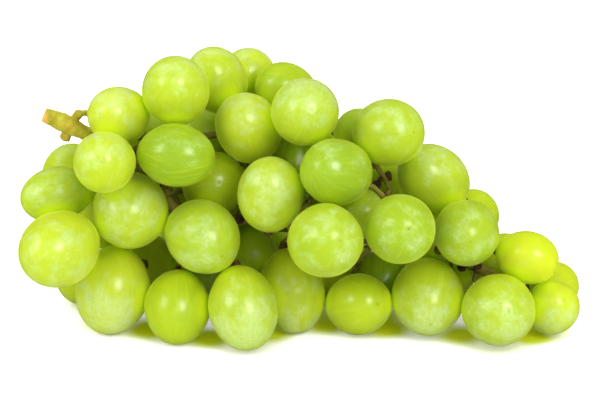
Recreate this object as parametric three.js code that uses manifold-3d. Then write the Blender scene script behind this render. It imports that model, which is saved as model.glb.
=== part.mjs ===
// A bunch of white table grapes lying on its side: one grown stem, which is the cut stalk, the main
// stem, its side branches and the berry stalks, and the berries that it carries.
// Millimetres, +Z up, +X along the bunch from the cut stalk to the tip, -Y the fuller side.
import * as THREE from 'three';
import { mergeVertices } from 'three/addons/utils/BufferGeometryUtils.js';
import Module from 'manifold-3d';

const wasm = await Module();
wasm.setup();

// Driving dimensions, mm.
const berryGap = 0.3; // between neighbouring berries, and between a berry and any stalk
const berryDetail = 2; // each edge of the icosahedron is split into one more than this
const stemEndTaper = 0.05; // how much narrower a berry grows towards its stalk, as a share of its width
const mainRadius = [2.1, 3.1, 1.9, 1.3]; // cut end, knuckle, just past the knuckle, tip
const branchRadius = [1.3, 0.9]; // at the main stem, at its own end
const usualWidth = 20; // of a middling berry, whose stalk has the radii below
const stalkRadius = [0.75, 1.9]; // along a berry's stalk, and where it spreads to hold the berry
const capLength = 2.4; // the stretch over which the berry's stalk spreads
const neckLength = 4; // the straight stretch of stalk that stands on a berry
const bareScale = 0.75; // of a stalk that has lost its berry, against a middling berry's stalk
const threadStep = 4; // about how far apart a branch or a stalk has its bends

// How finely the rods are drawn: sides round about, and the spacing of their rings in mm.
const mainDetail = { sides: 8, spacing: 6 };
const branchDetail = { sides: 6, spacing: 5 };
const stalkDetail = { sides: 5, spacing: 6 };
const stubDetail = { sides: 6, spacing: 3 };
const weld = 1e-4; // corners closer than this are one corner
const finest = 0.02; // edges shorter than this, left where stalks join, are closed up

// The main stem, from the cut end of the stalk to the tip of the bunch.
const mainStemRoute = [
  [-79, 0, 66], [-72, 0, 63], [-66, -1, 60], [-58, -1, 56], [-51, 2, 48], [-44, 4, 38],
  [-36, 3, 31.5], [-27, 2, 29.5], [-19, 1, 31], [-9, 1, 32], [3, 0, 32], [14, 0, 27.5],
  [20, 1, 24], [27, 4, 23], [35, 7, 20], [43, 7, 18], [50, 1, 17.5], [57, -6, 17], [64, -9, 14],
];
const knuckleX = -72;

// A dry stub below the knuckle, where a tendril was cut away.
const stubRoute = [[-72, 0, 63], [-72, 0, 60], [-73, 0, 58]];
const stubRadius = 1.6;

// Each side branch leaves the main stem at x = from, runs along via where that is given, and carries
// its own berries. A berry is [x, y, z, width, length, heading, lift]: about where its centre lies, how
// large it is, and which way the end away from its stalk points, as degrees from +X towards +Y and
// degrees above the level. A bare stalk, which has lost its berry, is [x, y, z, heading, lift] of its end.
const branches = [
  { from: -72, via: [[-67, 1, 67.3], [-60, 3, 63], [-53, 4, 58], [-40, 6, 56], [-24, 11, 56], [-4, 3, 59]],
    berries: [
      [-55.5, -5, 67.2, 18, 22, -120, 20], [-50, 16, 51.5, 19, 22, 170, 0],
      [-38, -7, 76, 20.5, 24.5, -90, 40], [-26, 13, 73, 19, 23, -130, 60],
      [-30.5, 25, 51, 19, 23, 180, 10], [-16, -1, 62, 20, 24, -130, 60],
      [-16.5, 30, 69, 17.5, 20, -90, 50], [-4, 13, 69, 18, 22, -150, 40],
      [1.5, -11, 70.5, 20.5, 24.5, -80, 20],
    ] },
  { from: -66, berries: [
    [-59, -23, 58.5, 18.5, 22.5, -90, 20], [-73, 10, 44, 16, 19, -120, -30],
    [-75, -8, 43, 17, 23, -170, 0], [-62, 14, 27, 20, 24, 90, -40]] },
  { from: -58, berries: [
    [-73, -27, 32, 23, 28, -120, 0], [-52, -12, 39, 23, 28, -90, 0],
    [-58, -14, 12, 23, 28, -110, -60], [-66.5, 9, 9, 18, 20, 180, -20], [-48, 15, 10, 20, 24, 90, -20]] },
  { from: -44, berries: [
    [-37.5, -18, 59, 19, 24, -10, 0], [-27, 4, 42, 20, 24, -80, 20]] },
  { from: -36, berries: [
    [-30, -19, 33, 22, 26, -60, -10], [-38, -22, 10, 20, 24, -90, -40],
    [-17, -28, 13.5, 21, 27, -60, -50], [-17, 3, 17.5, 16, 19, -60, -30]] },
  { from: -36, berries: [
    [-42, 26, 34, 21, 25, 90, -20], [-31, 12, 10, 20, 24, 90, -50], [-36, 34, 12, 20, 24, 90, -40]] },
  { from: -20, bare: [[-18.5, -4, 33, -60, 20]], berries: [
    [-19, 24, 31, 20, 24, 90, -10], [-16, 38, 47, 19, 22, 90, 10], [-6, 18, 46, 20, 24, 90, 30]] },
  { from: -14, berries: [
    [-9, -20, 47, 20, 24, -70, 80], [4, -1, 51, 19, 23, 90, 30]] },
  { from: 4, berries: [
    [-3, -12, 12.5, 20, 27, -70, -60], [11, -23.5, 55.5, 20, 25, -130, 20],
    [7.5, -37, 38.5, 22, 27, -70, 20], [18, -12, 38, 16, 20, -60, 20], [30, -31, 40, 21, 26, -80, 20]] },
  { from: 8, berries: [
    [9, 22, 34, 20, 24, 90, 0], [-13, 33, 11, 20, 24, 90, -40], [12, 28, 11, 19, 23, 90, -30],
    [7, 5.5, 10, 19, 23, 90, -30]] },
  { from: 16, bare: [[24, 0, 43, -90, 20], [28, 2, 45.3, 10, 10]], berries: [
    [19.5, 10, 54.5, 18, 22, 110, 20], [27, -11, 64, 20.5, 24.5, -60, 20],
    [30.5, 14.5, 36, 21, 25, 90, 0], [41.5, -1, 45.5, 20, 25, -160, 40]] },
  { from: 24, berries: [
    [18, -17, 9, 19, 24, -60, 20], [39, -18, 12.5, 22, 27, -90, -20], [26, 3, 11, 17, 21, -90, 0]] },
  { from: 44, bare: [[50.5, -9, 19, -100, 20], [55.5, -9, 20, -60, 40]], berries: [
    [51, -17, 33.5, 20, 25, -70, 20], [70, -17, 25.5, 16, 20, -30, 0], [55.5, 14.5, 27.5, 16, 20, -110, 40],
    [43.5, 1.5, 25, 16, 19, 90, 10], [38, 29, 10, 19, 22, 90, -20], [48, 11, 8.5, 16, 19, 90, -20]] },
  { from: 58, berries: [
    [60, -28, 12.5, 22, 27, -80, 20], [78, -19, 9.5, 16.5, 20.5, -70, 50], [80.5, 0, 9, 15.5, 18.5, -100, 20],
    [61.5, 3.5, 15.5, 17, 20, 0, 0], [66, 19, 9, 18, 21, 80, -10]] },
];

const stemMaterial = new THREE.MeshStandardMaterial({ color: 0x9a8a2c, roughness: 0.75, metalness: 0 });
const berryMaterial = new THREE.MeshStandardMaterial({ color: 0xb5d334, roughness: 0.38, metalness: 0 });

const toVector = (point) => new THREE.Vector3(...point);
const smooth = (share) => THREE.MathUtils.smoothstep(share, 0, 1);

// --- Berries ---

// The unit vector at heading degrees from +X towards +Y and lift degrees above the level.
function direction(heading, lift) {
  const around = THREE.MathUtils.degToRad(heading);
  const up = THREE.MathUtils.degToRad(lift);
  return new THREE.Vector3(Math.cos(around) * Math.cos(up), Math.sin(around) * Math.cos(up), Math.sin(up));
}

function makeBerry([x, y, z, width, length, heading, lift]) {
  const home = new THREE.Vector3(x, y, z);
  const homeAxis = direction(heading, lift);
  return { home, homeAxis, width, length, centre: home.clone(), axis: homeAxis.clone() };
}

// How far a berry reaches from its centre along a unit direction, measured square to that direction.
function reach(berry, direction) {
  const along = berry.axis.dot(direction) ** 2;
  return Math.sqrt((berry.width / 2) ** 2 * (1 - along) + (berry.length / 2) ** 2 * along);
}

// How far a point lies outside a berry, and the direction straight away from it.
function distanceTo(berry, point) {
  const away = point.clone().sub(berry.centre);
  const along = away.dot(berry.axis);
  const across = away.clone().addScaledVector(berry.axis, -along);
  const depth = Math.hypot(across.length() / (berry.width / 2), along / (berry.length / 2));
  const distance = away.length() * (1 - 1 / depth);
  const normal = across.multiplyScalar((berry.length / berry.width) ** 2);
  return { distance, normal: normal.addScaledVector(berry.axis, along).normalize() };
}

// Moves a point most of the way out of every berry that it is too close to.
function clearOfBerries(point, berries, clearance) {
  const share = 0.6;
  for (const berry of berries) {
    const { distance, normal } = distanceTo(berry, point);
    const overlap = clearance - distance;
    if (overlap > 0) {
      point.addScaledVector(normal, overlap * share);
    }
  }
}

function pushBerriesApart(berries) {
  const upright = new THREE.Vector3(0, 0, 1);
  for (const [i, first] of berries.entries()) {
    for (const second of berries.slice(i + 1)) {
      const between = second.centre.clone().sub(first.centre);
      const room = between.length();
      between.normalize();
      const overlap = reach(first, between) + reach(second, between) + berryGap - room;
      if (overlap > 0) {
        first.centre.addScaledVector(between, -overlap / 2);
        second.centre.addScaledVector(between, overlap / 2);
      }
    }
    first.centre.z = Math.max(first.centre.z, reach(first, upright));
  }
}

function pushBerriesOffStem(berries, stemPoints) {
  for (const berry of berries) {
    for (const { point, radius } of stemPoints) {
      const { distance, normal } = distanceTo(berry, point);
      const overlap = radius + berryGap - distance;
      if (overlap > 0) {
        berry.centre.addScaledVector(normal, -overlap);
      }
    }
  }
}

// Where a berry's stalk leaves its straight stretch.
function neckOf(berry) {
  return berry.centre.clone().addScaledVector(berry.axis, -berry.length / 2 - neckLength);
}

// A berry turns about its centre until its stalk has room beside the other berries and the table.
function turnBerry(berry, berries) {
  const clearance = stalkRadius[0] + 2 * berryGap;
  const neck = neckOf(berry);
  clearOfBerries(neck, berries, clearance);
  neck.z = Math.max(neck.z, clearance);
  berry.axis.copy(berry.centre).sub(neck).normalize();
}

// The berries settle against each other, the main stem and the table, each near its home.
function settleBerries(berries, stemPoints) {
  const rounds = 400;
  const homePull = 0.03;
  for (let round = 0; round < rounds; round += 1) {
    const pull = homePull * (1 - round / rounds) ** 2;
    for (const berry of berries) {
      berry.centre.lerp(berry.home, pull);
      berry.axis.lerp(berry.homeAxis, pull).normalize();
      turnBerry(berry, berries);
    }
    pushBerriesOffStem(berries, stemPoints);
    pushBerriesApart(berries);
  }
}

// A rounded spindle, a little narrower towards the stalk. grow moves its whole surface outwards.
function berryGeometry(berry, grow) {
  const geometry = new THREE.IcosahedronGeometry(1, berryDetail);
  const position = geometry.attributes.position;
  for (let i = 0; i < position.count; i += 1) {
    const towardsStalk = Math.max(0, -position.getZ(i));
    const half = (berry.width / 2) * (1 - stemEndTaper * towardsStalk ** 2) + grow;
    const halfLength = berry.length / 2 + grow;
    position.setXYZ(i, position.getX(i) * half, position.getY(i) * half, position.getZ(i) * halfLength);
  }
  geometry.applyQuaternion(new THREE.Quaternion().setFromUnitVectors(new THREE.Vector3(0, 0, 1), berry.axis));
  geometry.translate(...berry.centre);
  geometry.computeVertexNormals();
  return geometry;
}

// --- Stem ---

// Lengths along a route at which a rod gets a ring: evenly spaced, about spacing apart.
function evenStations(length, spacing) {
  const count = Math.max(2, Math.round(length / spacing));
  return Array.from({ length: count + 1 }, (_, i) => (length * i) / count);
}

// A round rod along a route, capped at both ends, with a ring at each station. radiusAt gives its
// radius from the place on the route, the length behind that place and the length left before it.
function rod(route, radiusAt, sides, stationsFor) {
  const curve = new THREE.CatmullRomCurve3(route, false, 'centripetal');
  const length = curve.getLength();
  const stations = stationsFor(length);
  const frameCount = 80; // the curve's normals are worked out at this many places
  const frames = curve.computeFrenetFrames(frameCount, false);
  const geometry = new THREE.CylinderGeometry(1, 1, 1, sides, stations.length - 1);
  const position = geometry.attributes.position;
  for (let i = 0; i < position.count; i += 1) {
    const behind = stations[Math.round((position.getY(i) + 0.5) * (stations.length - 1))];
    const share = Math.min(1, behind / length);
    const frame = Math.round(share * frameCount);
    const place = curve.getPointAt(share);
    const radius = radiusAt({ place, behind, left: length - behind });
    place.addScaledVector(frames.normals[frame], position.getX(i) * radius);
    place.addScaledVector(frames.binormals[frame], -position.getZ(i) * radius);
    position.setXYZ(i, ...place);
  }
  return geometry;
}

// A rod whose rings are evenly spaced.
function evenRod(route, radiusAt, { sides, spacing }) {
  return rod(route, radiusAt, sides, (length) => evenStations(length, spacing));
}

const mainCurve = new THREE.CatmullRomCurve3(mainStemRoute.map(toVector), false, 'centripetal');

// The main stem's radius at a given x: thick at the knuckle, then thinning evenly to the tip.
function mainStemRadius(x) {
  const [cutRadius, knuckleRadius, startRadius, tipRadius] = mainRadius;
  const knuckleReach = 7;
  const tipX = mainStemRoute.at(-1)[0];
  const plain = x < knuckleX
    ? cutRadius
    : THREE.MathUtils.mapLinear(x, knuckleX, tipX, startRadius, tipRadius);
  const nearKnuckle = smooth(1 - Math.abs(x - knuckleX) / knuckleReach);
  return plain + (knuckleRadius - plain) * nearKnuckle;
}

function mainStemPoints() {
  const count = 100;
  return mainCurve.getSpacedPoints(count).map((point) => ({ point, radius: mainStemRadius(point.x) }));
}

function nearestPoint(points, target) {
  const distances = points.map((point) => point.distanceTo(target));
  return points[distances.indexOf(Math.min(...distances))].clone();
}

// A stretched thread from start to end that slips off the berries into the gaps between them.
function threadBetween(start, end, berries, clearance) {
  const count = Math.max(2, Math.round(start.distanceTo(end) / threadStep));
  const points = [];
  for (let i = 0; i <= count; i += 1) {
    points.push(start.clone().lerp(end, i / count));
  }
  const rounds = 300;
  const firstTension = 0.25;
  for (let round = 0; round < rounds; round += 1) {
    const tension = firstTension * (1 - round / rounds);
    for (let i = 1; i < count; i += 1) {
      const middle = points[i - 1].clone().add(points[i + 1]).multiplyScalar(0.5);
      points[i].lerp(middle, tension);
      clearOfBerries(points[i], berries, clearance);
      points[i].z = Math.max(points[i].z, clearance);
    }
  }
  return points;
}

// A gap between the berries in the middle of a branch's start and of the stalks that it carries.
function hubOf(branch, start, berries, clearance) {
  const hub = start.clone();
  for (const berry of branch.members) {
    hub.add(neckOf(berry));
  }
  hub.divideScalar(branch.members.length + 1);
  const rounds = 60;
  for (let round = 0; round < rounds; round += 1) {
    clearOfBerries(hub, berries, clearance);
  }
  return hub;
}

// A branch runs along via, or to its hub where it has none.
function branchRoute(branch, start, berries) {
  const clearance = branchRadius[0] + berryGap;
  const ends = branch.via ? branch.via.map(toVector) : [hubOf(branch, start, berries, clearance)];
  const corners = [start, ...ends];
  const route = [start];
  for (let i = 1; i < corners.length; i += 1) {
    route.push(...threadBetween(corners[i - 1], corners[i], berries, clearance).slice(1));
  }
  return route;
}

function branchRod(route) {
  const [startRadius, endRadius] = branchRadius;
  const radiusAt = ({ behind, left }) => (startRadius * left + endRadius * behind) / (left + behind);
  return evenRod(route, radiusAt, branchDetail);
}

// A stalk leaves its branch, or an earlier stalk of that branch, at the nearest point.
function stalkRoute(neck, branchPoints, berries) {
  const clearance = stalkRadius[0] + 2 * berryGap;
  return threadBetween(nearestPoint(branchPoints, neck), neck, berries, clearance);
}

// The stalk's end stands straight on its foot and spreads, to hold a berry or as one has left it.
function stalkRod(route, foot, scale) {
  const [thin, wide] = stalkRadius.map((radius) => radius * scale);
  const radiusAt = ({ left }) => thin + (wide - thin) * smooth(1 - left / capLength);
  const stationsFor = (length) => [
    ...evenStations(length - capLength, stalkDetail.spacing), length - capLength / 3, length];
  return rod([...route, foot], radiusAt, stalkDetail.sides, stationsFor);
}

// Where each stalk of a branch ends, where its straight stretch begins, and how thick it is.
function stalksOf(branch) {
  const carrying = branch.members.map((berry) => ({
    neck: neckOf(berry),
    foot: berry.centre.clone().addScaledVector(berry.axis, berryGap - berry.length / 2),
    scale: berry.width / usualWidth,
  }));
  const bare = (branch.bare ?? []).map(([x, y, z, heading, lift]) => {
    const foot = new THREE.Vector3(x, y, z);
    const neck = foot.clone().addScaledVector(direction(heading, lift), -neckLength);
    return { neck, foot, scale: bareScale };
  });
  return [...carrying, ...bare];
}

// --- Joining and cutting ---

function toSolid(geometry) {
  const bare = geometry.clone();
  bare.deleteAttribute('normal');
  bare.deleteAttribute('uv');
  const merged = mergeVertices(bare, weld);
  return new wasm.Manifold(new wasm.Mesh({
    numProp: 3,
    vertProperties: new Float32Array(merged.attributes.position.array),
    triVerts: new Uint32Array(merged.index.array),
  }));
}

function toGeometry(solid) {
  const { vertProperties, triVerts } = solid.getMesh();
  const geometry = new THREE.BufferGeometry();
  geometry.setAttribute('position', new THREE.BufferAttribute(vertProperties, 3));
  geometry.setIndex(new THREE.BufferAttribute(triVerts, 1));
  geometry.computeVertexNormals();
  return geometry;
}

// The rods of one branch and of its stalks.
function branchRods(branch, berries) {
  const start = mainStemPoints().find(({ point }) => point.x >= branch.from).point;
  const route = branchRoute(branch, start, berries);
  const rods = [branchRod(route)];
  const branchPoints = [...route];
  for (const { neck, foot, scale } of stalksOf(branch)) {
    const stalk = stalkRoute(neck, branchPoints, berries);
    branchPoints.push(...stalk.slice(0, -1));
    rods.push(stalkRod(stalk, foot, scale));
  }
  return rods;
}

// The whole stem grown together as one, with room left for every berry.
function stemGeometry(berries) {
  const radiusAt = ({ place }) => mainStemRadius(place.x);
  const rods = [
    evenRod(mainStemRoute.map(toVector), radiusAt, mainDetail),
    evenRod(stubRoute.map(toVector), () => stubRadius, stubDetail),
    ...branches.flatMap((branch) => branchRods(branch, berries)),
  ];
  let stem = toSolid(rods[0]);
  for (const part of rods.slice(1)) {
    stem = stem.add(toSolid(part));
  }
  for (const berry of berries) {
    stem = stem.subtract(toSolid(berryGeometry(berry, berryGap)));
  }
  return toGeometry(stem.simplify(finest));
}

// --- The bunch ---

function buildBunch() {
  for (const branch of branches) {
    branch.members = branch.berries.map(makeBerry);
  }
  const berries = branches.flatMap((branch) => branch.members);
  settleBerries(berries, mainStemPoints());

  const bunch = new THREE.Group();
  const stem = new THREE.Mesh(stemGeometry(berries), stemMaterial);
  stem.name = 'stem';
  bunch.add(stem);
  for (const [i, berry] of berries.entries()) {
    const mesh = new THREE.Mesh(berryGeometry(berry, 0), berryMaterial);
    mesh.name = `berry_${String(i + 1).padStart(2, '0')}`;
    bunch.add(mesh);
  }

  // The origin is the middle of the bunch's box, on the surface that it lies on.
  const box = new THREE.Box3().setFromObject(bunch);
  const middle = box.getCenter(new THREE.Vector3());
  bunch.position.set(-middle.x, -middle.y, -box.min.z);
  return bunch;
}

export default buildBunch();
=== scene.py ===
import bpy
import numpy as np
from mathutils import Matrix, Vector


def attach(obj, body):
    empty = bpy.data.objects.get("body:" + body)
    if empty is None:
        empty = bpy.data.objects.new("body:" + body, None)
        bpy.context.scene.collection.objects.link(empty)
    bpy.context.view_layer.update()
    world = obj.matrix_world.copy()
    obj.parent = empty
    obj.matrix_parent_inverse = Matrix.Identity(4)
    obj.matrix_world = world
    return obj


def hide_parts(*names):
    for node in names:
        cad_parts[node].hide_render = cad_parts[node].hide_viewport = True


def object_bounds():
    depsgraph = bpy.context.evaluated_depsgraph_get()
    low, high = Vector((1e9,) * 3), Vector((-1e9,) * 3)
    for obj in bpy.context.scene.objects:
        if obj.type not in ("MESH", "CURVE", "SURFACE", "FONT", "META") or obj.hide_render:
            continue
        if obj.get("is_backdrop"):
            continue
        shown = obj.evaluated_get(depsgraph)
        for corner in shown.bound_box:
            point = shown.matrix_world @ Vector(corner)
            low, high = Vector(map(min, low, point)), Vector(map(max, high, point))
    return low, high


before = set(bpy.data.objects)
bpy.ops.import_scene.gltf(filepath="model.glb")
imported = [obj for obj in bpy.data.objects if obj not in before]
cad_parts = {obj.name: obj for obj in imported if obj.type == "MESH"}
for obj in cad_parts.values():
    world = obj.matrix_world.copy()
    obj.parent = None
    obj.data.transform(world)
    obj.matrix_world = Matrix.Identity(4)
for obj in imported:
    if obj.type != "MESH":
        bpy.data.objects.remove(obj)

cadLow, cadHigh = (np.array(corner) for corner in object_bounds())
millimetre = 0.001
print("frame loaded:", len(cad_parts), "nodes")

# the camera, the light and the sky
cameraSettings = {
    "lens": 153.6,
    "distance": 0.8,
    "elevation": 20.0,
    "aimOffset": (-1.05, 0.09, -5.47),  # from the middle of the bunch's box, mm
    "clipStart": 0.01,
}
floorSettings = {
    "halfSize": 3.0,
    "colour": (0.93, 0.93, 0.935),
    "roughness": 0.55,
    "paintedGreenShade": (0.70, 0.76, 0.012),  # painted shade and light: the floor between the low berries is painted olive green, for their shadow and the light that has come through them
    # the floor's own light in the painted part, much lower than lit, so that it reads as a green shadow
    "glowLight": (0.10, 0.125, 0.0),
    "glowBelow": 0.02,  # berries with their middle lower than this get painted green shade round them on the floor
    "glowReach": (0.6, 2.0),  # from full to none, in half widths of the berry
    "glowBehind": 0.42,  # how far behind the berry its glow falls, in half widths
    "glowLost": 0.6,  # so that only the floor between two berries is painted
    "lit": 0.45,  # the seamless floor is overexposed, as the sky is
    "litOutOfSight": 0.15,  # share of that light which also falls on the berries
    "glowShare": (0.1, 0.8),  # the painted shade at which the floor starts to turn green, and is all green
    "patch": (0.16, 0.12, 0.002),  # half the finely divided part of the floor, and its step
}
softboxes = {  # azimuth is degrees to the camera's right, size is width and height in metres
    "keySoftbox": {"azimuth": 24, "elevation": 36, "distance": 0.9, "size": (0.32, 0.40), "power": 3.3},
    "leftSoftbox": {"azimuth": -62, "elevation": 32, "distance": 0.9, "size": (0.32, 0.40), "power": 1.7},
    "frontFill": {"azimuth": -5, "elevation": 4, "distance": 1.1, "size": (1.5, 0.5), "power": 0.7},
}
skyStrength = {"seen": 1.0, "cast": 1.28, "mirrored": 0.05}

middle = (cadLow + cadHigh) / 2


# a point at a distance in the direction given by two angles, by their sines and cosines
def onSphere(azimuth, elevation, distance):
    turn, rise = np.radians(azimuth), np.radians(elevation)
    away = np.array([np.sin(turn) * np.cos(rise), -np.cos(turn) * np.cos(rise), np.sin(rise)])
    return away * distance


def lookAt(thing, place, target):
    thing.location = place
    direction = Vector(target) - Vector(place)
    thing.rotation_euler = direction.to_track_quat("-Z", "Y").to_euler()


def makeCamera():
    aim = middle + np.array(cameraSettings["aimOffset"]) * millimetre
    cameraData = bpy.data.cameras.new("studioCamera")
    cameraData.lens = cameraSettings["lens"]
    cameraData.clip_start = cameraSettings["clipStart"]
    camera = bpy.data.objects.new("studioCamera", cameraData)
    bpy.context.scene.collection.objects.link(camera)
    lookAt(camera, aim + onSphere(0, cameraSettings["elevation"], cameraSettings["distance"]), aim)
    bpy.context.scene.camera = camera


def makeSoftboxes():
    for name, box in softboxes.items():
        lamp = bpy.data.lights.new(name, "AREA")
        lamp.shape = "RECTANGLE"
        lamp.size, lamp.size_y = box["size"]
        lamp.energy = box["power"]
        softbox = bpy.data.objects.new(name, lamp)
        bpy.context.scene.collection.objects.link(softbox)
        lookAt(softbox, middle + onSphere(box["azimuth"], box["elevation"], box["distance"]), middle)


def makeSky():
    world = bpy.data.worlds.new("studioWhite")
    world.use_nodes = True
    tree = world.node_tree
    path = tree.nodes.new("ShaderNodeLightPath").outputs
    strength = skyStrength["cast"]
    for ray, way in (("Is Glossy Ray", "mirrored"), ("Is Camera Ray", "seen")):
        choice = tree.nodes.new("ShaderNodeMix")
        tree.links.new(path[ray], choice.inputs[0])
        if way == "mirrored":
            choice.inputs[2].default_value = strength
        else:
            tree.links.new(strength, choice.inputs[2])
        choice.inputs[3].default_value = skyStrength[way]
        strength = choice.outputs[0]
    tree.links.new(strength, tree.nodes["Background"].inputs["Strength"])
    tree.nodes["Background"].inputs["Color"].default_value = (1, 1, 1, 1)
    bpy.context.scene.world = world
    bpy.context.scene.view_settings.view_transform = "Standard"


makeCamera()
makeSoftboxes()
makeSky()
print("camera and lights made")


def link(piece):
    bpy.context.scene.collection.objects.link(piece)
    return piece


# "co" gives a mesh's points and "normal" its directions outwards, one row for each point
def meshRows(mesh, field):
    flat = np.empty(len(mesh.vertices) * 3, np.float32)
    mesh.vertices.foreach_get(field, flat)
    return flat.reshape(-1, 3).astype(float)


# a smooth shaded mesh from its points and its triangles and quads
def makeMesh(name, points, triangles, quads):
    mesh = bpy.data.meshes.new(name)
    mesh.vertices.add(len(points))
    mesh.vertices.foreach_set("co", np.ascontiguousarray(points, np.float32).ravel())
    corners = np.concatenate([triangles.ravel(), quads.ravel()]).astype(np.int32)
    sizes = np.concatenate([np.full(len(triangles), 3), np.full(len(quads), 4)]).astype(np.int32)
    mesh.loops.add(len(corners))
    mesh.loops.foreach_set("vertex_index", corners)
    mesh.polygons.add(len(sizes))
    mesh.polygons.foreach_set("loop_start", np.concatenate([[0], np.cumsum(sizes)[:-1]]).astype(np.int32))
    mesh.polygons.foreach_set("use_smooth", np.ones(len(sizes), bool))
    mesh.update(calc_edges=True)
    mesh.validate()
    return mesh


# two directions across an axis and the axis itself, as rows
def axisRows(axis):
    side = np.cross(axis, (0, 0, 1) if abs(axis[2]) < 0.9 else (1, 0, 0))
    side /= np.linalg.norm(side)
    return np.stack([side, np.cross(axis, side), axis])


# faces of a closed ball with a pole point, rows rings of columns points, and the other pole point:
# column c of ring r is point 1 + r * columns + c
def ballFaces(rows, columns):
    row, column = np.meshgrid(np.arange(rows - 1), np.arange(columns), indexing="ij")
    after = (column + 1) % columns
    quads = np.stack([
        1 + row * columns + column, 1 + row * columns + after,
        1 + (row + 1) * columns + after, 1 + (row + 1) * columns + column], -1).reshape(-1, 4)
    around = np.arange(columns)
    ahead = (around + 1) % columns
    lastRing, lastPole = 1 + (rows - 1) * columns, 1 + rows * columns
    triangles = np.concatenate([
        np.stack([np.zeros_like(around), 1 + ahead, 1 + around], -1),
        np.stack([np.full_like(around, lastPole), lastRing + around, lastRing + ahead], -1)])
    return triangles, quads


# a vector or a colour for each point, for the materials to read
def setAttribute(mesh, name, values):
    kind, field = {3: ("FLOAT_VECTOR", "vector"), 4: ("FLOAT_COLOR", "color")}[values.shape[1]]
    attribute = mesh.attributes.new(name, kind, "POINT")
    attribute.data.foreach_set(field, np.ascontiguousarray(values, np.float32).ravel())


# smooth noise between about -1 and 1: the mean of eight sine waves in random directions
def ripple(points, wavelength, seed):
    chance = np.random.default_rng(seed)
    directions = chance.normal(size=(8, 3))
    directions /= np.linalg.norm(directions, axis=1, keepdims=True)
    pace = 2 * np.pi / (wavelength * chance.uniform(0.6, 1.5, 8))
    return np.sin(points @ directions.T * pace + chance.uniform(0, 2 * np.pi, 8)).mean(1) * 2


def newMaterial(name):
    material = bpy.data.materials.new(name)
    material.use_nodes = True
    return material, material.node_tree, material.node_tree.nodes["Principled BSDF"]


# a shader node with its options set, and each input given a number or joined to a socket
def add(tree, kind, inputs=None, **options):
    made = tree.nodes.new(kind)
    for option, value in options.items():
        setattr(made, option, value)
    for socket, value in (inputs or {}).items():
        if isinstance(value, bpy.types.NodeSocket):
            tree.links.new(value, made.inputs[socket])
        else:
            made.inputs[socket].default_value = value
    return made


def mixColours(tree, share, first, second):
    return add(tree, "ShaderNodeMix", {0: share, 6: first, 7: second}, data_type="RGBA").outputs[2]


def sums(tree, operation, *values):
    return add(tree, "ShaderNodeMath", dict(enumerate(values)), operation=operation).outputs[0]


# a smooth step of a value from lowTo at low to highTo at high
def ramp(tree, value, low, high, lowTo=0.0, highTo=1.0):
    inputs = {"Value": value, "From Min": low, "From Max": high, "To Min": lowTo, "To Max": highTo}
    return add(tree, "ShaderNodeMapRange", inputs, interpolation_type="SMOOTHSTEP").outputs[0]


def noise(tree, place, scale, detail=3.0, roughness=0.55, distortion=0.0):
    inputs = {"Vector": place, "Scale": scale, "Detail": detail, "Roughness": roughness,
              "Distortion": distortion}
    return add(tree, "ShaderNodeTexNoise", inputs).outputs["Fac"]


# the share of a colour that a noise pattern gives, by the settings of the noise and of its ramp
def mottle(tree, place, settings):
    return ramp(tree, noise(tree, place, **settings["noise"]), *settings["share"])


def scaled(tree, vector, factors):
    return add(tree, "ShaderNodeVectorMath", {0: vector, 1: factors}, operation="MULTIPLY").outputs[0]


def placeInMm(tree):
    return scaled(tree, add(tree, "ShaderNodeTexCoord").outputs["Object"], (1 / millimetre,) * 3)


# the skin and flesh of the berries
skin = {
    "green": (0.305, 0.415, 0.003),
    "yellow": (0.50, 0.565, 0.008),
    # deep green: real tone in the slow clouds, and painted shade on the berries inside the bunch
    "deepGreenAndShade": (0.20, 0.32, 0.002),
    "paintedThroughLight": (0.66, 0.84, 0.012),  # painted light: paler yellow-green where the skin touches a berry close by, for light coming through from it
    "vein": (0.52, 0.66, 0.07),
    "haze": (0.38, 0.49, 0.09),
    "bloom": (0.49, 0.605, 0.35),
    "scar": (0.22, 0.12, 0.03),
    "dot": (0.30, 0.30, 0.05),
    "roughness": 0.28,
    "bloomRoughness": 0.33,
    "refraction": 1.47,
    "subsurface": 0.85,
    "depth": 0.020,  # how far light travels in the flesh, metres
    "depthByColour": (0.8, 1.0, 0.15),
    "coat": 0.35,
    "coatRoughness": 0.22,
    "sheen": 0.55,
    "sheenRoughness": 0.3,
    "sheenTint": (0.72, 0.86, 0.05),
    "bump": 0.25,
    "bumpHeight": 0.00012,
    "bumpNoise": {"scale": 1.2, "detail": 4.0},
    "veinHeight": -0.6,
}
# Noise scales are per mm. A share runs from its third number to its fourth, or else from 0 to 1, as
# what it follows runs from its first to its second.
skinMarks = {
    "clouds": {"noise": {"scale": 0.14, "detail": 2.0}, "share": (0.42, 0.66, 0.0, 0.16)},
    "veins": {"noise": {"scale": 1.6, "roughness": 0.6}, "share": (0.48, 0.74, 0.0, 0.24)},
    "veinsRound": (4.5, 4.5, 0),  # how fast they change with the direction round the berry's axis
    "veinsAlong": (0.05, 0.05, 0.11),  # with the place on the berry
    "veinsApart": (0.02, 0.02, 0.02),  # with the place in the bunch, so that no two berries are alike
    "paintedLightShare": 0.9,
    "hazeShare": 0.3,
    "patches": {"scale": 0.19, "detail": 4.0, "roughness": 0.6, "distortion": 0.2},
    "patchStart": 0.67,  # noise at which a berry with no bloom would get its first
    "patchReach": 0.45,  # how much lower that is on one with full bloom
    "patchEdge": 0.30,
    "grain": {"noise": {"scale": 0.8, "detail": 5.0, "roughness": 0.7}, "share": (0.36, 0.64, 0.45, 1.0)},
    "streaks": {"noise": {"scale": 2.2, "roughness": 0.6}, "share": (0.3, 0.7, 0.6, 1.0)},
    "bloomShare": 0.66,
    "bloomRough": (0.0, 0.8),  # by the bloom, from roughness to bloomRoughness
    "spotScale": 0.55,
    "spotShare": (0.06, 0.11, 0.6, 0.0),  # by the distance from the middle of a spot
    "scarNoise": {"scale": 1.5, "detail": 2.0},
    "scarRagged": 0.5,
    "scarShare": (0.55, 0.85, 1.0, 0.0),  # by the distance from the axis, mm
}


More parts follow.
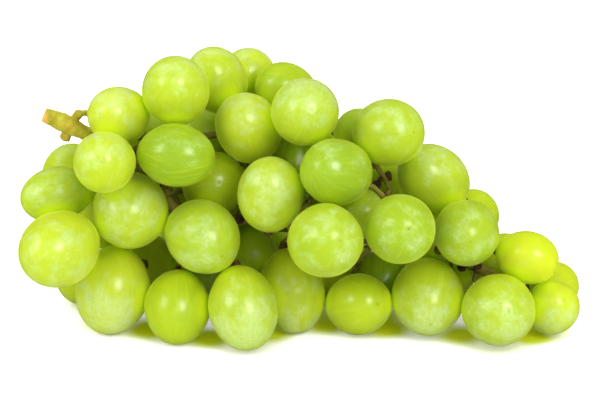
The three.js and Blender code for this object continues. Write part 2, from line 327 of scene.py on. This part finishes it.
def makeSkinMaterial():
    material, tree, shader = newMaterial("berrySkin")
    placeMm = placeInMm(tree)
    own = add(tree, "ShaderNodeAttribute", attribute_name="skinPlace").outputs["Vector"]
    traits = add(tree, "ShaderNodeAttribute", attribute_name="skinTraits")
    parts = add(tree, "ShaderNodeSeparateColor", {"Color": traits.outputs["Color"]})
    yellowness, bloomAmount, scarAmount = parts.outputs[0], parts.outputs[1], parts.outputs[2]

    # flesh: green to yellow by berry, with slow clouds of deeper green
    flesh = mixColours(tree, yellowness, (*skin["green"], 1), (*skin["yellow"], 1))
    flesh = mixColours(tree, mottle(tree, placeMm, skinMarks["clouds"]), flesh, (*skin["deepGreenAndShade"], 1))
    # by the fourth trait: random tone on middling berries, painted shade on the berries inside the bunch
    flesh = mixColours(tree, traits.outputs["Alpha"], flesh, (*skin["deepGreenAndShade"], 1))
    # painted light: the skin is mixed towards a pale yellow-green where it touches a neighbour, as if lit
    # through it
    paintedLightAmount = add(tree, "ShaderNodeAttribute", attribute_name="skinPaintedLight").outputs["Fac"]
    paintedThroughLight = sums(tree, "MULTIPLY", paintedLightAmount, skinMarks["paintedLightShare"])
    flesh = mixColours(tree, paintedThroughLight, flesh, (*skin["paintedThroughLight"], 1))

    # veins run from the stalk to the far end: noise that is fine around the berry and long along it
    flat = scaled(tree, own, (1, 1, 0))
    around = add(tree, "ShaderNodeVectorMath", {0: flat}, operation="NORMALIZE").outputs[0]
    along = add(tree, "ShaderNodeVectorMath", {
        0: scaled(tree, around, skinMarks["veinsRound"]), 1: scaled(tree, own, skinMarks["veinsAlong"])},
        operation="ADD").outputs[0]
    withPlace = add(tree, "ShaderNodeVectorMath", {
        0: along, 1: scaled(tree, placeMm, skinMarks["veinsApart"])}, operation="ADD").outputs[0]
    veins = mottle(tree, withPlace, skinMarks["veins"])
    flesh = mixColours(tree, veins, flesh, (*skin["vein"], 1))

    # bloom: whitish wax, an even haze and patches with soft edges, rubbed into streaks
    haze = sums(tree, "MULTIPLY", bloomAmount, skinMarks["hazeShare"])
    flesh = mixColours(tree, haze, flesh, (*skin["haze"], 1))
    reach = sums(tree, "MULTIPLY", bloomAmount, skinMarks["patchReach"])
    start = sums(tree, "SUBTRACT", skinMarks["patchStart"], reach)
    full = sums(tree, "ADD", start, skinMarks["patchEdge"])
    patch = ramp(tree, noise(tree, placeMm, **skinMarks["patches"]), start, full)
    bloom = sums(tree, "MULTIPLY", patch, mottle(tree, placeMm, skinMarks["grain"]))
    bloom = sums(tree, "MULTIPLY", bloom, mottle(tree, withPlace, skinMarks["streaks"]))
    waxy = sums(tree, "MULTIPLY", bloom, skinMarks["bloomShare"])
    colour = mixColours(tree, waxy, flesh, (*skin["bloom"], 1))

    # scattered breathing spots
    cells = add(tree, "ShaderNodeTexVoronoi", {"Vector": placeMm, "Scale": skinMarks["spotScale"]})
    spots = ramp(tree, cells.outputs["Distance"], *skinMarks["spotShare"])
    colour = mixColours(tree, spots, colour, (*skin["dot"], 1))

    # the far end carries a small brown scar, where own z is above 0 and own x and y are near 0
    axis = add(tree, "ShaderNodeSeparateXYZ", {"Vector": own})
    offAxis = add(tree, "ShaderNodeVectorMath", {0: flat}, operation="LENGTH").outputs["Value"]
    rag = sums(tree, "MULTIPLY", noise(tree, placeMm, **skinMarks["scarNoise"]), skinMarks["scarRagged"])
    ragged = sums(tree, "ADD", offAxis, rag)
    farEnd = ramp(tree, axis.outputs["Z"], 0.0, 1.0)
    scar = sums(tree, "MULTIPLY", ramp(tree, ragged, *skinMarks["scarShare"]), farEnd)
    colour = mixColours(tree, sums(tree, "MULTIPLY", scar, scarAmount), colour, (*skin["scar"], 1))
    tree.links.new(colour, shader.inputs["Base Color"])

    roughness = ramp(tree, bloom, *skinMarks["bloomRough"], skin["roughness"], skin["bloomRoughness"])
    tree.links.new(roughness, shader.inputs["Roughness"])
    shader.inputs["IOR"].default_value = skin["refraction"]
    shader.inputs["Subsurface Weight"].default_value = skin["subsurface"]
    shader.inputs["Subsurface Scale"].default_value = skin["depth"]
    shader.inputs["Subsurface Radius"].default_value = skin["depthByColour"]
    shader.inputs["Coat Weight"].default_value = skin["coat"]
    shader.inputs["Coat Roughness"].default_value = skin["coatRoughness"]
    shader.inputs["Sheen Weight"].default_value = skin["sheen"]
    shader.inputs["Sheen Roughness"].default_value = skin["sheenRoughness"]
    shader.inputs["Sheen Tint"].default_value = (*skin["sheenTint"], 1)
    veinHeight = sums(tree, "MULTIPLY", veins, skin["veinHeight"])
    height = sums(tree, "ADD", noise(tree, placeMm, **skin["bumpNoise"]), veinHeight)
    bump = add(tree, "ShaderNodeBump", {
        "Height": height, "Strength": skin["bump"], "Distance": skin["bumpHeight"]})
    tree.links.new(bump.outputs[0], shader.inputs["Normal"])
    return material


berrySettings = {
    "rows": 46,
    "columns": 64,
    "poleCrowding": 0.55,  # how much closer the rows stand at the two ends
    "stalkTaper": 0.05,
    "grow": 0.06,  # mm, closes part of the gap to its neighbours
    "unevenness": 0.10,  # mm
    "waveLength": 2.2,  # of the unevenness, where the berry's half width is 1
    "dimpleDepth": 0.16,  # mm, at the far end
    "dimpleWidth": 1.1,
    "rubbed": 5.0,  # mm around a neighbour over which the bloom is rubbed off
    "rubbedLeft": 0.15,  # share of the bloom that is left where two berries touch
    "lineBelow": 12.0,  # mm from the middle of the box down to the bunch's long middle line
    "seed": 100,
    "pressed": 0.28,  # mm, how far the skin swells towards a neighbour that it touches
}
# yellowness, bloom, scar and deepness of green of a berry, 0 to 1: the least and the most of a middling
# one, and those of every other one by its number. On the berries inside the bunch, little yellowness and
# bloom and much deepness are painted shade; elsewhere they are the berry's own tone.
middlingTraits = ((0.1, 0.4, 0.2, 0.0), (0.6, 0.9, 0.6, 0.5))
berryTraits = {
    1: (0.85, 0.85, 0.2, 0.0), 3: (0.40, 0.75, 0.2, 0.0), 4: (0.45, 0.75, 0.2, 0.0),
    6: (0.50, 0.70, 0.2, 0.0), 7: (0.60, 0.75, 0.2, 0.0), 8: (0.45, 0.40, 0.2, 0.45),
    9: (0.30, 0.85, 0.15, 0.1), 10: (0.65, 0.70, 0.2, 0.1), 11: (0.45, 0.75, 0.2, 0.0),
    12: (0.30, 0.70, 0.2, 0.1), 13: (0.50, 0.20, 0.2, 0.0), 14: (0.65, 0.65, 0.2, 0.0),
    15: (0.35, 0.65, 0.2, 0.0), 16: (0.75, 1.00, 0.3, 0.0), 18: (0.50, 0.10, 0.2, 0.0),
    19: (0.10, 0.38, 0.2, 0.75), 20: (0.20, 0.20, 0.2, 0.2), 21: (0.25, 0.65, 0.3, 0.3),
    22: (0.20, 0.35, 0.4, 0.0), 23: (0.40, 0.95, 0.3, 0.1), 24: (0.10, 0.20, 0.2, 0.5),
    31: (0.35, 0.75, 0.2, 0.1), 32: (0.10, 0.05, 0.2, 0.9), 33: (0.50, 0.75, 0.2, 0.0),
    34: (0.15, 0.50, 0.2, 0.75), 35: (0.30, 0.60, 0.25, 0.3), 36: (0.20, 0.50, 0.2, 0.5),
    37: (0.15, 0.55, 0.5, 0.5), 43: (0.40, 0.70, 0.3, 0.3), 45: (0.40, 0.75, 0.3, 0.1),
    46: (0.35, 0.40, 0.4, 0.0), 47: (0.35, 0.90, 0.3, 0.0), 48: (0.00, 0.10, 0.2, 0.9),
    49: (0.30, 0.62, 0.3, 0.4), 50: (1.00, 0.25, 0.3, 0.0), 51: (0.40, 0.95, 0.2, 0.0),
    54: (0.60, 0.10, 0.2, 0.0), 55: (0.35, 0.85, 0.3, 0.1), 56: (0.75, 0.90, 0.2, 0.0),
    57: (0.65, 0.85, 0.2, 0.0), 58: (0.70, 0.10, 0.2, 0.0),
}


# Centre, axis from stalk to far end, half width and half length of a CAD berry. The axis is the
# direction in which its points spread most, and the halves solve r*r/ww + z*z/ll = 1 best.
def berryFrame(points, stemPoints):
    centre = points.mean(0)
    away = points - centre
    axis = np.linalg.eigh(away.T @ away)[1][:, 2]
    halfLength = np.abs(away @ axis).max()
    ends = [centre + side * halfLength * axis for side in (-1, 1)]
    toStem = [np.linalg.norm(stemPoints - end, axis=1).min() for end in ends]
    if toStem[1] < toStem[0]:
        axis = -axis
    along = away @ axis
    across = (away ** 2).sum(1) - along ** 2
    front = along > 0
    perAcross, perAlong = np.linalg.lstsq(
        np.stack([across[front], along[front] ** 2], 1), np.ones(front.sum()), rcond=None)[0]
    return centre, axis, perAcross ** -0.5, perAlong ** -0.5


# A spindle: x = w sin(v) cos(u), y = w sin(v) sin(u), z = -l cos(v), where u goes round and v goes
# from the stalk to the far end. w shrinks towards the stalk, slow waves make the outline uneven,
# and the far end has a small dimple, a bell curve of the distance from the axis.
def berryPoints(halfWidth, halfLength, seed):
    rows, columns = berrySettings["rows"], berrySettings["columns"]
    step = np.arange(1, rows + 1) / (rows + 1)
    v = np.pi * (step - berrySettings["poleCrowding"] * np.sin(2 * np.pi * step) / (2 * np.pi))
    u = np.arange(columns) * 2 * np.pi / columns
    v, u = (grid.ravel() for grid in np.meshgrid(v, u, indexing="ij"))
    ball = np.stack([np.sin(v) * np.cos(u), np.sin(v) * np.sin(u), -np.cos(v)], 1)
    ball = np.concatenate([[[0, 0, -1]], ball, [[0, 0, 1]]])
    towardsStalk = np.maximum(0, -ball[:, 2])
    width = halfWidth * (1 - berrySettings["stalkTaper"] * towardsStalk ** 2)
    grow = berrySettings["grow"] * millimetre
    points = ball * np.stack([width + grow, width + grow, np.full(len(ball), halfLength + grow)], 1)
    waves = ripple(ball, berrySettings["waveLength"], seed) * berrySettings["unevenness"] * millimetre
    points += ball * waves[:, None]
    offAxis = np.linalg.norm(points[:, :2], axis=1)
    dimple = np.exp(-(offAxis / (berrySettings["dimpleWidth"] * millimetre)) ** 2) * (ball[:, 2] > 0)
    points[:, 2] -= dimple * berrySettings["dimpleDepth"] * millimetre
    return points


# How far each point lies from the nearest other berry, from the depth sqrt(r*r/ww + z*z/ll) of the
# point in that berry: 0 where they touch, 1 where the skin is free.
def freedom(points, number, frames):
    gap = np.full(len(points), np.inf)
    for other, (centre, axis, halfWidth, halfLength) in frames.items():
        if other != number:
            away = points - centre
            along = away @ axis
            across = np.sqrt(np.maximum((away ** 2).sum(1) - along ** 2, 0))
            depth = np.hypot(across / halfWidth, along / halfLength)
            gap = np.minimum(gap, np.linalg.norm(away, axis=1) * (1 - 1 / depth))
    free = np.clip(gap / (berrySettings["rubbed"] * millimetre), 0, 1)
    return free * free * (3 - 2 * free)


# How squarely each point faces away from the long middle line of the bunch, 0 to 1.
def outwardness(points, centre):
    line = np.array([centre[0], middle[1], middle[2] - berrySettings["lineBelow"] * millimetre])
    outward = centre - line
    outward /= np.linalg.norm(outward)
    facing = (points - centre) @ outward / np.linalg.norm(points - centre, axis=1)
    return np.clip(0.5 + 0.5 * facing, 0, 1)


def makeBerries():
    material = makeSkinMaterial()
    stemPoints = meshRows(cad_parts["stem"].data, "co")
    triangles, quads = ballFaces(berrySettings["rows"], berrySettings["columns"])
    frames = {}
    for name in sorted(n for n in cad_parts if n.startswith("berry_")):
        frames[int(name[-2:])] = berryFrame(meshRows(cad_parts[name].data, "co"), stemPoints)
    for number, (centre, axis, halfWidth, halfLength) in frames.items():
        own = berryPoints(halfWidth, halfLength, number)
        points = own @ axisRows(axis) + centre
        free = freedom(points, number, frames)
        outward = points - centre
        outward *= (berrySettings["pressed"] * millimetre / np.linalg.norm(outward, axis=1))[:, None]
        points += outward * (1 - free)[:, None]
        points[:, 2] = np.maximum(points[:, 2], cadLow[2])  # a low berry rests on the surface
        mesh = makeMesh(f"grape_{number:02d}", points, triangles, quads)
        chance = np.random.default_rng(berrySettings["seed"] + number)
        traits = np.tile(berryTraits.get(number, chance.uniform(*middlingTraits)), (len(own), 1))
        kept = berrySettings["rubbedLeft"] + (1 - berrySettings["rubbedLeft"]) * free
        traits[:, 1] *= kept * outwardness(points, centre)
        # painted light where the berry touches a neighbour, less on the deep green ones
        paintedLightAmount = (1 - free) * (1 - traits[:, 3])
        setAttribute(mesh, "skinPlace", own / millimetre)
        setAttribute(mesh, "skinTraits", traits)
        setAttribute(mesh, "skinPaintedLight", np.stack([paintedLightAmount, paintedLightAmount, paintedLightAmount, np.ones(len(paintedLightAmount))], 1))
        mesh.materials.append(material)
        berry = link(bpy.data.objects.new(f"grape_{number:02d}", mesh))
        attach(berry, "root")
        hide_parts(f"berry_{number:02d}")
    return frames


berryFrames = makeBerries()
print("berries made:", len(berryFrames))


# Painted shade and light: how green each point of the floor is painted, for the shadow of the low berries
# and the light through them: the sum of a smooth step of the level distance to each low berry, less
# glowLost.
def paintedFloorShade(points):
    paintedGreenShade = np.zeros(len(points))
    full, none = floorSettings["glowReach"]
    for centre, _, halfWidth, _ in berryFrames.values():
        if centre[2] - cadLow[2] < floorSettings["glowBelow"]:
            target = centre[:2] + np.array([0, floorSettings["glowBehind"] * halfWidth])
            away = np.linalg.norm(points[:, :2] - target, axis=1) / halfWidth
            near = np.clip((none - away) / (none - full), 0, 1)
            paintedGreenShade += near * near * (3 - 2 * near)
    return np.clip(paintedGreenShade - floorSettings["glowLost"], 0, 1)


def makeFloor():
    half = floorSettings["halfSize"]
    patchX, patchY, step = floorSettings["patch"]
    acrossX = np.concatenate([[-half], np.arange(-patchX, patchX, step), [half]])
    acrossY = np.concatenate([[-half], np.arange(-patchY, patchY, step), [half]])
    x, y = (grid.ravel() for grid in np.meshgrid(acrossX, acrossY, indexing="ij"))
    points = np.stack([x, y, np.full(len(x), cadLow[2])], 1)
    row, column = np.meshgrid(np.arange(len(acrossX) - 1), np.arange(len(acrossY) - 1), indexing="ij")
    corner = row * len(acrossY) + column
    beyond = corner + len(acrossY)
    quads = np.stack([corner, beyond, beyond + 1, corner + 1], -1).reshape(-1, 4)
    mesh = makeMesh("paleFloor", points, np.empty((0, 3)), quads)
    paintedGreenShade = paintedFloorShade(points)
    setAttribute(mesh, "paintedGreenShade", np.stack([paintedGreenShade, paintedGreenShade, paintedGreenShade, np.ones(len(paintedGreenShade))], 1))
    floor = link(bpy.data.objects.new("paleFloor", mesh))
    material, tree, shader = newMaterial("paleFloor")
    # painted shade: near the low berries, the floor's colour and its own light turn to olive green
    paintedShadeAmount = add(tree, "ShaderNodeAttribute", attribute_name="paintedGreenShade").outputs["Fac"]
    share = ramp(tree, paintedShadeAmount, *floorSettings["glowShare"])
    colour = mixColours(tree, share, (*floorSettings["colour"], 1), (*floorSettings["paintedGreenShade"], 1))
    tree.links.new(colour, shader.inputs["Base Color"])
    shader.inputs["Roughness"].default_value = floorSettings["roughness"]
    lit = floorSettings["lit"]
    light = mixColours(tree, share, (lit, lit, lit, 1), (*floorSettings["glowLight"], 1))
    tree.links.new(light, shader.inputs["Emission Color"])
    seen = add(tree, "ShaderNodeLightPath").outputs["Is Camera Ray"]
    shining = ramp(tree, seen, 0.0, 1.0, floorSettings["litOutOfSight"], 1.0)
    tree.links.new(shining, shader.inputs["Emission Strength"])
    mesh.materials.append(material)
    floor.visible_glossy = False  # keeps the skin's edges free of a grey sheen
    floor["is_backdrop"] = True


makeFloor()
print("floor made")


stemSettings = {
    "voxel": 0.00034,  # metres
    "weld": 0.00001,
    "smoothing": 8,  # rounds
    "smoothShares": (0.55, -0.57),  # of the way to the neighbours' mean, out and back in each round
    "fatten": 0.16,  # mm, what smoothing takes off the thin stalks
    "lump": 0.11,  # mm, how far the lumps stand out, and their size
    "lumpSize": 3.0,
    "lumpSeed": 5,
    "grain": 0.03,  # mm, the same for the fine grain
    "grainSize": 0.9,
    "grainSeed": 9,
    "collar": 0.30,  # mm, how far the swollen end of a stalk stands out at its berry
    "brokenRadii": (0.80, 0.66, 0.62, 0.62, 0.70, 0.82, 0.60),  # mm, along a broken stalk
    "brokenSides": 12,
    "broken": (  # first and last point of each broken stalk, mm from the middle of the bunch's box; set in see-through gaps, they are also a dark fill for the shade there
        ((3.8, 17.7, 16.9), (10.0, 18.3, 9.9)), ((-18.0, 20.2, -1.0), (-21.2, 19.8, 0.3)),
        ((-3.8, -12.5, -5.0), (0.3, -13.4, -3.9)), ((-3.8, -12.5, -5.0), (-4.7, -13.2, -10.0)),
        ((22.4, 3.8, -20.7), (19.5, 4.0, -23.3)), ((54.6, -3.9, -27.5), (53.6, -5.2, -31.0)),
        ((74.5, 5.4, -40.9), (71.3, 7.3, -36.3))),
}
bark = {
    "green": (0.46, 0.46, 0.030),
    "olive": (0.30, 0.27, 0.006),
    "twig": (0.25, 0.22, 0.025),
    "brown": (0.09, 0.05, 0.012),
    "dark": (0.03, 0.014, 0.006),
    "tan": (0.62, 0.38, 0.07),
    "cut": (0.95, 0.78, 0.42),
    "rust": (0.46, 0.24, 0.03),
    "roughness": 0.68,
    "specular": 0.25,
    "subsurface": 0.15,
    "depth": 0.001,
    "bump": 0.35,
    "bumpHeight": 0.0003,
    "capSize": 2.2,  # mm around the berry's end of a stalk that are browned
    "bareSize": 1.6,  # mm around a bare end that are dark
    "bareDark": 1.6,  # over 1, past which the brown turns to dark
    "cutDepth": 1.0,  # mm at the stem's outer end that make up its cut end
    "cutSize": 2.4,  # mm around the cut end that are dry and pale
    "knuckleSize": 4.0,  # mm around the knuckle that are rusty
    "knuckle": (7.0, 0.0, -3.0),  # mm from the cut end
    "greenReach": (16.0, 26.0),  # mm from the cut end over which the bark turns from green to twig
    "bareEnds": (  # of stalks that have lost their berry, mm from the middle of the bunch's box
        (-19.55, -3.91, -10.47), (22.95, 0.09, -0.47), (26.95, 2.09, 1.83), (49.45, -8.91, -24.47),
        (54.45, -8.91, -23.47)),
}
# noises and shares as in skinMarks
barkMarks = {
    "patches": {"scale": 0.22, "detail": 4.0, "roughness": 0.6, "distortion": 0.5},
    "fine": {"scale": 1.6, "detail": 4.0, "roughness": 0.65},
    "fibres": {"scale": 1.2, "detail": 4.0, "roughness": 0.6},
    "fibresAlong": (0.25, 1.6, 1.6),  # drawn out along the bunch
    "oliveShare": (0.35, 0.65),
    "brownShare": (0.5, 0.66),
    "fibreShare": (0.52, 0.8, 0.0, 0.35),
    "rust": {"noise": {"scale": 0.5}, "share": (0.4, 0.6, 0.1, 0.8)},
    "cappedFine": 0.3,
    "cappedShare": (0.2, 0.75),
    "darkShare": (1.0, 1.4),
    "speckShare": (0.64, 0.74, 0.0, 0.4),
    "tanShare": (0.15, 0.45),
    "cutShare": (0.6, 0.8),
}


# Each round moves every point part of the way to the mean of its neighbours, and then back again by
# a little more, so that the lumps go and the thickness stays.
def smoothed(points, edges, rounds):
    count = np.bincount(edges.ravel(), minlength=len(points))[:, None]
    for share in stemSettings["smoothShares"] * rounds:
        total = np.zeros_like(points)
        np.add.at(total, edges[:, 0], points[edges[:, 1]])
        np.add.at(total, edges[:, 1], points[edges[:, 0]])
        points = points + share * (total / count - points)
    return points


# How near a berry or a bare end, the cut end and the knuckle each point is: bell curves of the
# distance. The last mark is a smooth step of the distance from the cut end.
def stemMarks(points):
    ends = np.array([centre - axis * halfLength for centre, axis, _, halfLength in berryFrames.values()])
    toCap = np.full(len(points), np.inf)
    for end in ends:
        toCap = np.minimum(toCap, np.linalg.norm(points - end, axis=1))
    cutEnd = points[points[:, 0] < points[:, 0].min() + bark["cutDepth"] * millimetre].mean(0)
    knuckle = cutEnd + np.array(bark["knuckle"]) * millimetre
    toCut = np.linalg.norm(points - cutEnd, axis=1)
    toKnuckle = np.linalg.norm(points - knuckle, axis=1)
    marks = np.ones((len(points), 4))
    marks[:, 0] = np.exp(-(toCap / (bark["capSize"] * millimetre)) ** 2)
    for place in bark["bareEnds"]:
        toBare = np.linalg.norm(points - middle - np.array(place) * millimetre, axis=1)
        bare = bark["bareDark"] * np.exp(-(toBare / (bark["bareSize"] * millimetre)) ** 2)
        marks[:, 0] = np.maximum(marks[:, 0], bare)
    marks[:, 1] = np.exp(-(toCut / (bark["cutSize"] * millimetre)) ** 2)
    marks[:, 2] = np.exp(-(toKnuckle / (bark["knuckleSize"] * millimetre)) ** 2)
    near, far = bark["greenReach"]
    marks[:, 3] = np.clip((toCut / millimetre - near) / (far - near), 0, 1)
    return marks


def makeStemMaterial():
    material, tree, shader = newMaterial("stemBark")
    placeMm = placeInMm(tree)
    marks = add(tree, "ShaderNodeAttribute", attribute_name="stemMarks").outputs
    parts = add(tree, "ShaderNodeSeparateColor", {"Color": marks["Color"]})
    cap, cut, knuckle = parts.outputs[0], parts.outputs[1], parts.outputs[2]
    patches = noise(tree, placeMm, **barkMarks["patches"])
    fine = noise(tree, placeMm, **barkMarks["fine"])
    fibres = noise(tree, scaled(tree, placeMm, barkMarks["fibresAlong"]), **barkMarks["fibres"])
    olive = ramp(tree, patches, *barkMarks["oliveShare"])
    colour = mixColours(tree, olive, (*bark["green"], 1), (*bark["olive"], 1))
    brown = ramp(tree, patches, *barkMarks["brownShare"])
    inner = mixColours(tree, brown, (*bark["twig"], 1), (*bark["brown"], 1))
    colour = mixColours(tree, marks["Alpha"], colour, inner)
    rust = sums(tree, "MULTIPLY", knuckle, mottle(tree, placeMm, barkMarks["rust"]))
    capped = sums(tree, "ADD", cap, sums(tree, "MULTIPLY", fine, barkMarks["cappedFine"]))
    for share, over in (
            (ramp(tree, fibres, *barkMarks["fibreShare"]), "brown"), (rust, "rust"),
            (ramp(tree, capped, *barkMarks["cappedShare"]), "brown"),
            (ramp(tree, cap, *barkMarks["darkShare"]), "dark"),
            (ramp(tree, fine, *barkMarks["speckShare"]), "dark"),
            (ramp(tree, cut, *barkMarks["tanShare"]), "tan"),
            (ramp(tree, cut, *barkMarks["cutShare"]), "cut")):
        colour = mixColours(tree, share, colour, (*bark[over], 1))
    tree.links.new(colour, shader.inputs["Base Color"])
    shader.inputs["Roughness"].default_value = bark["roughness"]
    shader.inputs["Specular IOR Level"].default_value = bark["specular"]
    shader.inputs["Subsurface Weight"].default_value = bark["subsurface"]
    shader.inputs["Subsurface Scale"].default_value = bark["depth"]
    height = sums(tree, "ADD", fine, fibres)
    bump = add(tree, "ShaderNodeBump", {
        "Height": height, "Strength": bark["bump"], "Distance": bark["bumpHeight"]})
    tree.links.new(bump.outputs[0], shader.inputs["Normal"])
    return material


# A broken stalk, which also fills a see-through gap with dark for the shade there: rings across the line
# from its first point to its last, with a point at each end.
def brokenStalk(first, last):
    first, last = (middle + np.array(place) * millimetre for place in (first, last))
    along, length = last - first, np.linalg.norm(last - first)
    sideways, upwards, _ = axisRows(along / length)
    u = np.arange(stemSettings["brokenSides"]) * 2 * np.pi / stemSettings["brokenSides"]
    ring = np.cos(u)[:, None] * sideways + np.sin(u)[:, None] * upwards
    radii = np.array(stemSettings["brokenRadii"])[:, None, None] * millimetre
    share = np.linspace(0, 1, len(radii))[:, None, None]
    rings = first + share * along + radii * ring
    return np.concatenate([[first], rings.reshape(-1, 3), [last]])


# The stem's CAD mesh, all triangles, and the broken stalks in one mesh, for the remesh to grow together.
def stemBase():
    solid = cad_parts["stem"].data
    corners = np.empty(len(solid.loops), np.int32)
    solid.loops.foreach_get("vertex_index", corners)
    points, triangles, quads = [meshRows(solid, "co")], [corners.reshape(-1, 3)], []
    rings = ballFaces(len(stemSettings["brokenRadii"]), stemSettings["brokenSides"])
    for first, last in stemSettings["broken"]:
        before = sum(map(len, points))
        points.append(brokenStalk(first, last))
        triangles.append(rings[0] + before)
        quads.append(rings[1] + before)
    return makeMesh("stemBase", *map(np.concatenate, (points, triangles, quads)))


def makeStem():
    base = stemBase()
    carrier = link(bpy.data.objects.new("stemCarrier", base))
    weld = carrier.modifiers.new("weld", "WELD")
    weld.merge_threshold = stemSettings["weld"]
    remesh = carrier.modifiers.new("remesh", "REMESH")
    remesh.mode = "VOXEL"
    remesh.voxel_size = stemSettings["voxel"]
    grown = bpy.data.meshes.new_from_object(carrier.evaluated_get(bpy.context.evaluated_depsgraph_get()))
    bpy.data.objects.remove(carrier)
    bpy.data.meshes.remove(base)

    edges = np.empty(len(grown.edges) * 2, np.int32)
    grown.edges.foreach_get("vertices", edges)
    points = smoothed(meshRows(grown, "co"), edges.reshape(-1, 2), stemSettings["smoothing"])
    grown.vertices.foreach_set("co", points.astype(np.float32).ravel())
    grown.update()
    lumpSize, grainSize = (stemSettings[size] * millimetre for size in ("lumpSize", "grainSize"))
    lumps = ripple(points, lumpSize, stemSettings["lumpSeed"]) * stemSettings["lump"]
    grain = ripple(points, grainSize, stemSettings["grainSeed"]) * stemSettings["grain"]
    marks = stemMarks(points)
    collar = np.clip(marks[:, 0], 0, 1) ** 2 * stemSettings["collar"]
    out = (stemSettings["fatten"] + lumps + grain + collar) * millimetre
    points = points + meshRows(grown, "normal") * out[:, None]
    grown.vertices.foreach_set("co", points.astype(np.float32).ravel())
    grown.polygons.foreach_set("use_smooth", np.ones(len(grown.polygons), bool))
    grown.update()
    grown.name = "grapeStem"
    setAttribute(grown, "stemMarks", marks)
    grown.materials.append(makeStemMaterial())
    stem = link(bpy.data.objects.new("grapeStem", grown))
    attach(stem, "root")
    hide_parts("stem")
    print("stem faces:", len(grown.polygons))


makeStem()
print("stem made")
